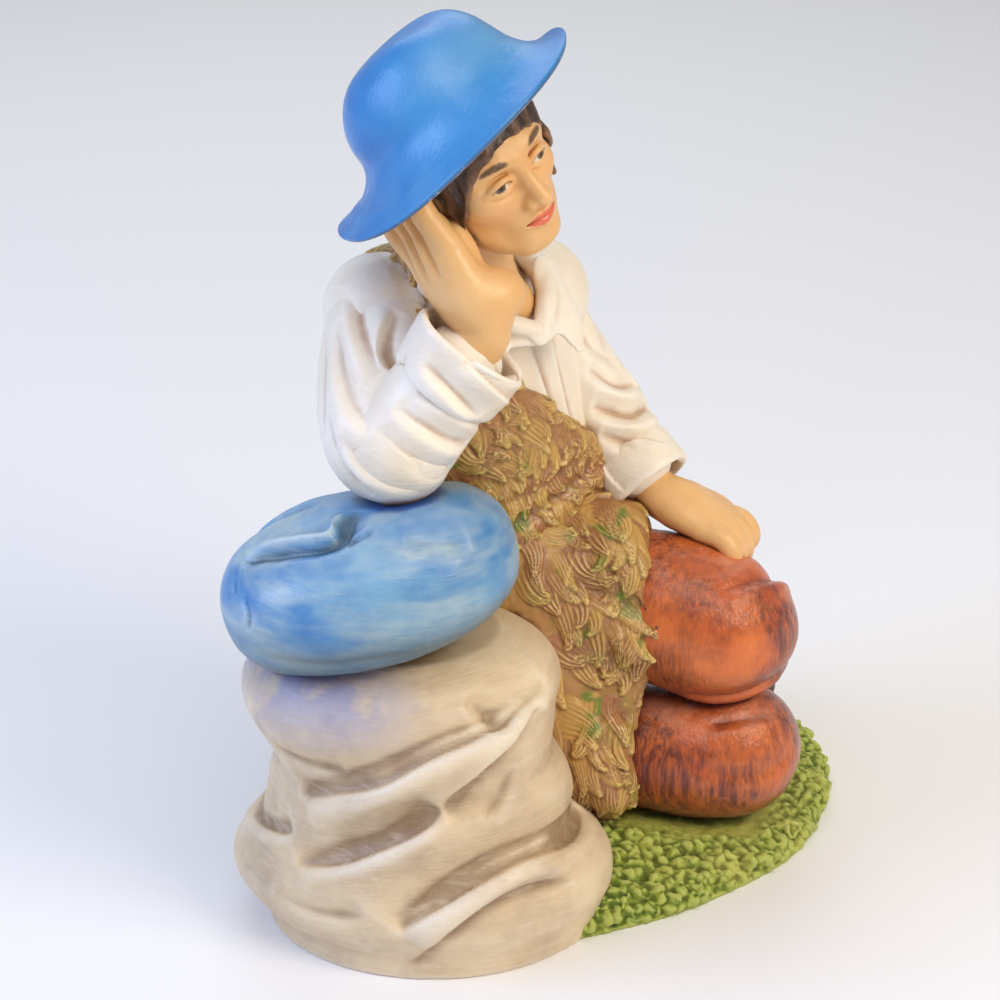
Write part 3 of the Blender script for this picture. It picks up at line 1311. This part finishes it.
def make_hat():
    section, edge = hat_section()
    count, around = len(section), int(300 / COARSE)
    ring = np.arange(around)
    angle = np.repeat((ring / around * 2 * math.pi)[None], count, 0)
    local, lean = hat_shape(*(np.repeat(section[:, k : k + 1], around, 1) for k in (0, 1)), angle)
    axes = hat_axes()
    after = (ring + 1) % around
    quads = [
        np.stack([i * around + ring, (i + 1) * around + ring, (i + 1) * around + after, i * around + after], 1)
        for i in range(count - 1)
    ]
    body = Clay(HAT + local.reshape(-1, 3) @ axes.T, np.vstack(quads))
    top = HAT + axes @ vec(lean[0].mean(), -lean[0].mean() * 0.2, HAT_PROFILE[0][1] - 0.1)
    body.poles = [(top, ring), (top - axes[:, 2] * HAT_THICKNESS, (count - 1) * around + ring)]
    index = np.repeat(np.arange(count), around)
    body.paint["lining"] = (index > edge + 1).astype(float)
    body.paint["edge"] = np.exp(-(((index - edge - 1.5) / 2.2) ** 2))
    body.push(0.25 * rough(body.verts, 14, 121) * (1 - body.paint["lining"]))
    return body


# ---- paint ----


class Paint:
    """A painted-resin material, built node by node."""

    def __init__(self, name):
        self.material = bpy.data.materials.new(name)
        self.material.use_nodes = True
        self.tree = self.material.node_tree
        self.shader = self.tree.nodes["Principled BSDF"]
        self.place = self.add("ShaderNodeTexCoord").outputs["Object"]

    def add(self, kind, inputs=None, **settings):
        node = self.tree.nodes.new(kind)
        for key, value in settings.items():
            setattr(node, key, value)
        for key, value in (inputs or {}).items():
            self.plug(node.inputs[key], value)
        return node

    def plug(self, socket, value):
        if isinstance(value, bpy.types.NodeSocket):
            self.tree.links.new(value, socket)
        else:
            socket.default_value = value

    def attribute(self, name):
        return self.add("ShaderNodeAttribute", attribute_name=name).outputs["Fac"]

    def math(self, operation, a, b=0.0, clamp=False):
        return self.add("ShaderNodeMath", {0: a, 1: b}, operation=operation, use_clamp=clamp).outputs[0]

    def spread(self, value, low, high, to_low=0.0, to_high=1.0):
        """Maps low..high to to_low..to_high, clamped."""
        inputs = {"Value": value, "From Min": low, "From Max": high, "To Min": to_low, "To Max": to_high}
        return self.add("ShaderNodeMapRange", inputs).outputs[0]

    def mix(self, share, a, b, blend_type="MIX"):
        node = self.add("ShaderNodeMix", data_type="RGBA", blend_type=blend_type)
        for index, value in ((0, share), (6, a), (7, b)):
            self.plug(node.inputs[index], value)
        return node.outputs[2]

    def stretched(self, scale):
        """Object coordinates in features per metre along X, Y and Z."""
        return self.add("ShaderNodeMapping", {"Vector": self.place, "Scale": scale}).outputs[0]

    def noise(self, per_metre, detail=4.0, rough_share=0.55, vector=None):
        inputs = {"Scale": per_metre, "Detail": detail, "Roughness": rough_share}
        inputs["Vector"] = vector if vector is not None else self.place
        return self.add("ShaderNodeTexNoise", inputs).outputs["Fac"]

    def mottle(self, field, low, high, first, second):
        """Two colours in soft patches, by a value that runs from low to high."""
        return self.mix(self.spread(field, low, high), first, second)

    def touch(self, colour, over, mask, strength, clamp=False):
        """A colour laid over another where a mask says, at this strength."""
        return self.mix(self.math("MULTIPLY", mask, strength, clamp), colour, over)

    def part(self, vector, axis):
        return self.add("ShaderNodeSeparateXYZ", {"Vector": vector}).outputs[axis]

    def upward(self):
        """How far the surface faces up: 1 on top, and -1 underneath."""
        return self.part(self.add("ShaderNodeNewGeometry").outputs["Normal"], "Z")

    def sheen(self, per_metre, low, high):
        """Roughness that varies softly between two values."""
        return self.spread(self.noise(per_metre, 3), 0.3, 0.7, low, high)

    def grain(self, per_metre, detail, scale):
        """A surface of fine noise and brush streaks."""
        return self.math("ADD", self.noise(per_metre, detail), self.streaks(scale, 0.3, 0.7))

    def streaks(self, scale, low, high):
        """Brush streaks: noise stretched by features per metre along each axis."""
        return self.spread(self.noise(1.0, 3.0, 0.6, self.stretched(scale)), low, high)

    def finish(self, colour, roughness, bump, distance=0.0004, specular=0.5, strength=0.6):
        self.plug(self.shader.inputs["Base Color"], colour)
        self.plug(self.shader.inputs["Roughness"], roughness)
        self.shader.inputs["Specular IOR Level"].default_value = specular
        node = self.add("ShaderNodeBump", {"Height": bump, "Strength": strength, "Distance": distance})
        self.plug(self.shader.inputs["Normal"], node.outputs[0])
        return self.material


def rgb(red, green, blue):
    """A colour given as 0-255 screen values, in linear light."""
    return (*[((c / 255 + 0.055) / 1.055) ** 2.4 if c > 10 else c / 3294 for c in (red, green, blue)], 1.0)


def wash(paint, colour, dark, strength=1.0, narrow=(0.05, 0.5), wide=(0.3, 2.4)):
    """A thin dark wash that stays in fine creases, in broad hollows and along the seams."""
    small = paint.spread(paint.attribute("cavity"), *narrow)
    large = paint.spread(paint.attribute("hollow"), *wide)
    deep = paint.math("MAXIMUM", paint.math("MULTIPLY", large, 0.8), paint.math("MULTIPLY", small, 0.7))
    deep = paint.math("MAXIMUM", deep, paint.attribute("seam"))
    patchy = paint.spread(paint.noise(90, 4), 0.3, 0.7, 0.65, 1.0)
    share = paint.math("MULTIPLY", paint.math("MULTIPLY", deep, patchy), strength, clamp=True)
    return paint.mix(share, colour, dark)


def dry_brush(paint, colour, light, share):
    """Pale paint caught by the ridges."""
    return paint.touch(colour, light, paint.spread(paint.attribute("cavity"), -0.02, -0.22), share)


def paint_shirt():
    p = Paint("shirt")
    tint = p.mottle(p.noise(38, 3), 0.35, 0.7, rgb(243, 235, 222), rgb(232, 219, 198))
    colour = wash(p, tint, rgb(172, 122, 80), 1.0, (0.02, 0.3), (0.06, 0.8))
    colour = dry_brush(p, colour, rgb(250, 247, 240), 0.6)
    return p.finish(colour, p.sheen(160, 0.34, 0.48), p.grain(420, 5, (240, 240, 900)), 0.00016)


def paint_sack():
    p = Paint("sackcloth")
    tint = p.mottle(p.noise(24, 4, 0.6), 0.36, 0.64, rgb(224, 204, 172), rgb(206, 182, 148))
    tint = p.touch(tint, rgb(172, 154, 136), p.spread(p.noise(46, 5, 0.6), 0.5, 0.72), 0.6)
    colour = wash(p, tint, rgb(126, 94, 64), 1.0, (0.03, 0.3), (0.06, 0.9))
    colour = p.touch(colour, rgb(232, 220, 200), p.streaks((70, 70, 420), 0.5, 0.75), 0.35)
    colour = dry_brush(p, colour, rgb(238, 226, 206), 0.7)
    # Blue paint from the cushion has strayed onto the top of the sack's right end.
    high = p.spread(p.part(p.place, "Z"), 0.078, 0.100)
    end = p.spread(p.part(p.place, "X"), -0.078, -0.100)
    blue = p.math("MULTIPLY", p.math("MULTIPLY", high, end), p.spread(p.noise(60, 3), 0.3, 0.5), clamp=True)
    colour = p.touch(colour, rgb(112, 130, 190), blue, 0.7)
    return p.finish(colour, p.sheen(120, 0.36, 0.52), p.grain(300, 6, (150, 150, 1100)), 0.0002)


def paint_cushion():
    p = Paint("cushion")
    tint = p.mottle(p.noise(30, 4, 0.6), 0.38, 0.62, rgb(66, 130, 190), rgb(118, 166, 200))
    pale = p.math("MULTIPLY", p.streaks((22, 22, 60), 0.42, 0.62), p.streaks((70, 70, 380), 0.1, 0.6))
    colour = p.touch(tint, rgb(190, 206, 200), pale, 0.7)
    colour = p.touch(colour, rgb(78, 98, 104), p.spread(p.upward(), 0.05, -0.6), 0.8)
    colour = wash(p, colour, rgb(50, 64, 72), 1.0, (0.02, 0.25), (0.06, 0.9))
    colour = dry_brush(p, colour, rgb(206, 218, 218), 0.5)
    colour = p.touch(colour, rgb(40, 96, 190), p.attribute("elbow_rim"), 0.9, clamp=True)
    return p.finish(colour, p.sheen(120, 0.26, 0.42), p.grain(300, 5, (150, 150, 1000)), 0.00016)


def paint_trousers():
    p = Paint("trousers")
    tint = p.mottle(p.noise(40, 4, 0.6), 0.35, 0.65, rgb(220, 120, 60), rgb(196, 94, 48))
    strokes = p.streaks((480, 480, 50), 0.25, 0.6)
    brushed = p.math("MULTIPLY", strokes, p.spread(p.noise(26, 6, 0.62), 0.40, 0.56))
    colour = p.touch(tint, rgb(92, 46, 44), brushed, 0.9)
    colour = p.touch(colour, rgb(96, 44, 40), p.spread(p.upward(), -0.2, -0.85), 0.8)
    colour = wash(p, colour, rgb(74, 34, 38), 1.0, (0.02, 0.3), (0.08, 0.9))
    pink = p.math("MULTIPLY", p.spread(p.upward(), 0.55, 0.95), p.streaks((60, 60, 200), 0.45, 0.65))
    colour = p.touch(colour, rgb(214, 158, 138), pink, 0.5)
    bump = p.math("ADD", p.noise(260, 4), p.math("MULTIPLY", p.streaks((900, 900, 120), 0.3, 0.7), 1.4))
    return p.finish(colour, p.sheen(120, 0.14, 0.28), bump, 0.00018)


def paint_fleece():
    p = Paint("fleece")
    tone, strand = p.attribute("tone"), p.attribute("strand")
    patches = p.math("ADD", p.math("MULTIPLY", tone, 0.6), p.math("MULTIPLY", p.noise(30, 3), 0.6))
    tint = p.mottle(patches, 0.35, 0.85, rgb(160, 110, 70), rgb(188, 146, 78))
    olive = p.math("MULTIPLY", p.spread(p.noise(52, 4, 0.6), 0.42, 0.56), p.spread(strand, 0.2, 0.8))
    colour = p.touch(tint, rgb(140, 142, 54), olive, 0.85)
    green = p.math("MULTIPLY", p.spread(p.noise(64, 3, 0.6), 0.55, 0.62), p.spread(tone, 0.4, 0.7))
    colour = p.touch(colour, rgb(84, 124, 34), green, 0.8)
    colour = wash(p, colour, rgb(92, 56, 38), 1.0, (0.0, 0.26), (0.1, 1.2))
    colour = dry_brush(p, colour, rgb(222, 192, 122), 0.75)
    return p.finish(colour, p.sheen(150, 0.26, 0.42), p.noise(700, 4), 0.00012)


def paint_grass():
    p = Paint("grass")
    bare = p.attribute("bare")
    clump = p.math("MULTIPLY", p.attribute("clump"), 0.5)
    patches = p.math("ADD", clump, p.math("MULTIPLY", p.noise(60, 4), 0.7))
    tint = p.mottle(patches, 0.35, 0.8, rgb(98, 126, 38), rgb(156, 172, 62))
    colour = p.mix(p.spread(p.noise(36, 3), 0.5, 0.7), tint, rgb(184, 186, 86))
    colour = p.mix(bare, colour, rgb(186, 186, 88))
    colour = wash(p, colour, rgb(38, 50, 18), 1.0, (0.0, 0.26), (0.1, 1.0))
    colour = dry_brush(p, colour, rgb(206, 214, 120), 0.6)
    bump = p.math("ADD", p.noise(900, 5), p.noise(2200, 2))
    return p.finish(colour, p.spread(bare, 0, 1, 0.62, 0.34), bump, 0.0006, 0.4, 0.9)


def paint_hat():
    p = Paint("hat")
    tint = p.mottle(p.noise(22, 3, 0.5), 0.36, 0.64, rgb(38, 118, 190), rgb(66, 144, 206))
    colour = p.touch(tint, rgb(128, 180, 220), p.spread(p.noise(26, 2, 0.5), 0.52, 0.7), 0.35)
    colour = wash(p, colour, rgb(28, 82, 146), 0.9, (0.05, 0.6), (0.4, 3.0))
    flecks = p.spread(p.noise(420, 4, 0.7), 0.66, 0.7)
    chips = p.math("MULTIPLY", flecks, p.spread(p.noise(60, 2), 0.55, 0.62))
    colour = p.touch(colour, rgb(206, 222, 236), chips, 0.5)
    colour = p.mix(p.attribute("lining"), colour, rgb(186, 186, 190))
    rim = p.mottle(p.noise(300, 4, 0.7), 0.58, 0.70, rgb(34, 50, 104), rgb(196, 204, 214))
    colour = p.touch(colour, rim, p.attribute("edge"), 0.8)
    return p.finish(colour, p.sheen(110, 0.24, 0.38), p.grain(240, 5, (700, 700, 160)), 0.00012)


def skin_colour(p):
    tint = p.mottle(p.noise(45, 3), 0.35, 0.65, rgb(234, 190, 132), rgb(226, 176, 116))
    return wash(p, tint, rgb(160, 106, 62), 0.85, (0.04, 0.4), (0.4, 2.0))


def paint_skin():
    p = Paint("skin")
    return p.finish(skin_colour(p), p.sheen(140, 0.30, 0.42), p.grain(320, 4, (700, 700, 240)), 0.0001)


# What is painted on the face, in order: the mask, how strong it is, and its colour.
FACE_COLOURS = [
    ("blush", 0.45, (222, 138, 92)),
    ("white", 1.0, (226, 216, 200)),
    ("iris", 1.0, (104, 84, 66)),
    ("pupil", 1.0, (22, 18, 18)),
    ("lash", 0.85, (52, 34, 28)),
    ("brow", 0.9, (62, 38, 30)),
    ("lips", 0.85, (222, 98, 74)),
    ("mouth", 0.9, (120, 44, 34)),
]


def paint_face():
    p = Paint("face")
    colour = skin_colour(p)
    for mask, strength, tint in FACE_COLOURS:
        colour = p.touch(colour, rgb(*tint), p.attribute(mask), strength)
    shine = p.math("MAXIMUM", p.attribute("white"), p.attribute("lips"))
    return p.finish(colour, p.spread(shine, 0, 1, 0.36, 0.16), p.noise(320, 4), 0.00008)


def paint_hair():
    p = Paint("hair")
    tint = p.mix(p.attribute("strand"), rgb(46, 30, 24), rgb(92, 66, 50))
    colour = wash(p, tint, rgb(26, 17, 15), 0.9)
    colour = dry_brush(p, colour, rgb(148, 112, 84), 0.7)
    return p.finish(colour, 0.42, p.noise(600, 4), 0.0002)


def paint_boots():
    p = Paint("boots")
    tint = p.mottle(p.noise(50, 4), 0.35, 0.65, rgb(98, 62, 40), rgb(72, 44, 30))
    colour = dry_brush(p, wash(p, tint, rgb(36, 22, 18)), rgb(156, 112, 76), 0.6)
    return p.finish(colour, p.sheen(120, 0.30, 0.46), p.grain(320, 5, (600, 600, 140)), 0.00018)


# ---- the pieces ----

PIECES = [
    ("sack", make_sack, "sackcloth", "sack"),
    ("cushion", make_cushion, "cushion", "cushion"),
    ("grass_base", make_base, "grass", "grass"),
    ("left_leg", make_left_leg, "trousers", "trousers"),
    ("right_leg", make_right_leg, "trousers", "trousers"),
    ("left_boot", lambda: make_boot("left_boot", (0.67, 0.38, 0.50), (0.22, 0.86, 0.30)), "boots", "boots"),
    ("right_boot", lambda: make_boot("right_boot", (0.50, 0.42, 0.46), (0.48, 0.86, 0.28)), "boots", "boots"),
    ("shirt_body", make_shirt_body, "shirt", "shirt"),
    ("shirt_collar", make_collar, "shirt", "shirt"),
    ("right_upper_sleeve", make_right_upper_sleeve, "shirt", "shirt"),
    ("right_forearm_sleeve", make_right_forearm_sleeve, "shirt", "shirt"),
    ("right_cuff", make_right_cuff, "shirt", "shirt"),
    ("left_sleeve", make_left_sleeve, "shirt", "shirt"),
    ("left_cuff", make_left_cuff, "shirt", "shirt"),
    ("fleece_bodice", make_bodice, "fleece", "fleece"),
    ("fleece_skirt", make_skirt, "fleece", "fleece"),
    ("right_hand", make_right_hand, "skin", "skin"),
    ("left_hand", make_left_hand, "skin", "skin"),
    ("neck", make_neck, "skin", "skin"),
    ("head", make_head, "face", "skin"),
    ("hair", make_hair, "hair", "hair"),
    ("hat", make_hat, "hat", "hat"),
]
PAINTS = {
    "shirt": paint_shirt,
    "sackcloth": paint_sack,
    "cushion": paint_cushion,
    "trousers": paint_trousers,
    "boots": paint_boots,
    "fleece": paint_fleece,
    "grass": paint_grass,
    "hat": paint_hat,
    "skin": paint_skin,
    "face": paint_face,
    "hair": paint_hair,
}


class Crowd:
    """A coarse map of how far every point near the ornament is from the nearest surface."""

    STEP = 2.5

    def __init__(self, bodies):
        low = np.min([b.verts.min(0) for b in bodies], 0) - 4
        high = np.max([b.verts.max(0) for b in bodies], 0) + 4
        self.low = low
        self.shape = np.ceil((high - low) / self.STEP).astype(int) + 1
        self.filled = np.zeros(self.shape)
        for body in bodies:
            self.fill(body)

    def fill(self, body):
        """Marks the cells inside one closed body, by counting its skin along Z."""
        v = (body.verts - self.low) / self.STEP
        a, b, c, d = body.quads.T
        centre = v[body.quads].mean(1)
        face = np.cross(v[c] - v[a], v[d] - v[b]) / 2
        cell = np.clip(np.round(centre[:, :2]).astype(int), 0, self.shape[:2] - 1)
        level = np.clip(np.ceil(centre[:, 2]).astype(int), 0, self.shape[2] - 1)
        step = np.zeros(self.shape)
        np.add.at(step, (cell[:, 0], cell[:, 1], level), -face[:, 2])
        self.filled = np.maximum(self.filled, np.clip(np.cumsum(step, 2), 0, 1))

    def crowding(self, points):
        """How full the map is at each point, from 0 to 1."""
        q = np.clip((points - self.low) / self.STEP, 0, self.shape - 1.001)
        cell = q.astype(int)
        return sum(weight * self.filled[tuple((cell + corner).T)] for corner, weight in corners(q - cell))


def shade(body, crowd):
    """Works out where a wash would settle: fine creases, broad hollows, and seams against other castings."""
    body.paint["cavity"] = body.cavity(int(5 / COARSE))
    body.paint["hollow"] = body.cavity(int(60 / COARSE))
    seam = sum(crowd.crowding(body.verts + body.normal * reach) for reach in (3.0, 6.0)) / 2
    for _ in range(4):
        seam = seam + (body.spread(seam) - seam) * 0.6
    body.paint["seam"] = np.clip((seam - 0.28) * 1.7, 0, 1) ** 1.3


def crown_fans(body):
    """Points at the poles of an open sheet of quads, and the triangles that join each to its ring."""
    tips, triangles = [], []
    for (tip, rim), backwards in zip(body.poles, (False, True)):
        pair = (rim, np.roll(rim, -1))[:: -1 if backwards else 1]
        triangles.append(np.stack([np.full(len(rim), len(body.verts) + len(tips)), *pair], 1))
        tips.append(tip)
    return tips, triangles


def to_mesh(name, body):
    tips, triangles = crown_fans(body)
    verts = np.vstack([body.verts, *tips])
    loops = np.concatenate([body.quads.ravel(), *[t.ravel() for t in triangles]])
    sizes = np.concatenate([np.full(len(body.quads), 4), *[np.full(len(t), 3) for t in triangles]])
    mesh = bpy.data.meshes.new(name)
    mesh.vertices.add(len(verts))
    mesh.vertices.foreach_set("co", (verts * MM).astype(np.float32).ravel())
    mesh.loops.add(len(loops))
    mesh.loops.foreach_set("vertex_index", loops.astype(np.int32))
    mesh.polygons.add(len(sizes))
    mesh.polygons.foreach_set("loop_start", np.concatenate([[0], np.cumsum(sizes)[:-1]]).astype(np.int32))
    mesh.update(calc_edges=True)
    mesh.validate()
    mesh.shade_smooth()
    for key, values in body.paint.items():
        full = np.concatenate([values, np.zeros(len(tips))]).astype(np.float32)
        mesh.attributes.new(key, "FLOAT", "POINT").data.foreach_set("value", full)
    return mesh


def to_object(name, body, material, slot):
    mesh = to_mesh(name, body)
    mesh.materials.append(material)
    piece = bpy.data.objects.new(name + "_cast", mesh)
    bpy.context.scene.collection.objects.link(piece)
    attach(piece, "root")
    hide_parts(name)


def make_pieces():
    with ThreadPoolExecutor(4) as pool:
        bodies = list(pool.map(lambda row: row[1](), PIECES))
        crowd = Crowd(bodies)
        list(pool.map(lambda body: shade(body, crowd), bodies))
    paints = {key: make() for key, make in PAINTS.items()}
    for (name, _, paint, slot), body in zip(PIECES, bodies):
        to_object(name, body, paints[paint], slot)


# ---- the studio ----


def make_floor():
    mesh = bpy.data.meshes.new("floor")
    half = 6.0
    corner_points = [(-half, -half, 0), (half, -half, 0), (half, half, 0), (-half, half, 0)]
    mesh.from_pydata(corner_points, [], [(0, 1, 2, 3)])
    floor = bpy.data.objects.new("floor", mesh)
    material = bpy.data.materials.new("floor")
    material.use_nodes = True
    shader = material.node_tree.nodes["Principled BSDF"]
    shader.inputs["Base Color"].default_value = (0.86, 0.86, 0.87, 1)
    shader.inputs["Roughness"].default_value = 0.9
    mesh.materials.append(material)
    bpy.context.scene.collection.objects.link(floor)


def direction(azimuth, elevation):
    """A unit vector, by degrees from the front towards the figure's left, and degrees above the floor."""
    a, e = math.radians(azimuth), math.radians(elevation)
    return Vector((math.sin(a) * math.cos(e), -math.cos(a) * math.cos(e), math.sin(e)))


def make_light(name, azimuth, elevation, distance, size, power, colour):
    light = bpy.data.lights.new(name, "AREA")
    light.size, light.energy, light.color = size, power, colour
    lamp = bpy.data.objects.new(name, light)
    way = direction(azimuth, elevation)
    lamp.location = Vector((0, 0, 0.15)) + way * distance
    lamp.rotation_euler = (-way).to_track_quat("-Z", "Y").to_euler()
    bpy.context.scene.collection.objects.link(lamp)


# Lights: azimuth, elevation, distance and size in metres, power, colour.
LIGHTS = {
    "key_warm": (15, 34, 1.3, 0.7, 9.5, (1.0, 0.86, 0.68)),
    "fill_cool": (-112, 28, 1.3, 0.7, 9.5, (0.45, 0.60, 1.0)),
    "front_soft": (-40, 62, 1.5, 1.0, 6.0, (1.0, 0.97, 0.93)),
    "back_soft": (150, 40, 1.4, 1.0, 4.5, (0.85, 0.92, 1.0)),
}


def make_studio():
    world = bpy.data.worlds.new("studio")
    world.use_nodes = True
    world.node_tree.nodes["Background"].inputs["Color"].default_value = (1.0, 0.99, 0.98, 1)
    world.node_tree.nodes["Background"].inputs["Strength"].default_value = 0.38
    bpy.context.scene.world = world
    for name, settings in LIGHTS.items():
        make_light(name, *settings)


VIEW_AZIMUTH, VIEW_ELEVATION, VIEW_DISTANCE = -38.0, 25.0, 0.900


def make_camera():
    camera = bpy.data.objects.new("camera", bpy.data.cameras.new("camera"))
    camera.data.sensor_width = 36
    camera.data.lens = 36 * 3.05 * VIEW_DISTANCE
    back = direction(VIEW_AZIMUTH, VIEW_ELEVATION)
    low, high = cad_box
    # The camera aims a little left of, and in front of, the middle of the box.
    target = (low + high) / 2 + Vector((-0.0255, -0.0134, -0.009))
    camera.location = target + back * VIEW_DISTANCE
    camera.rotation_mode = "QUATERNION"
    camera.rotation_quaternion = (-back).to_track_quat("-Z", "Y")
    bpy.context.scene.collection.objects.link(camera)
    bpy.context.scene.camera = camera


make_pieces()
make_floor()
make_studio()
make_camera()
bpy.context.scene.view_settings.view_transform = "Standard"
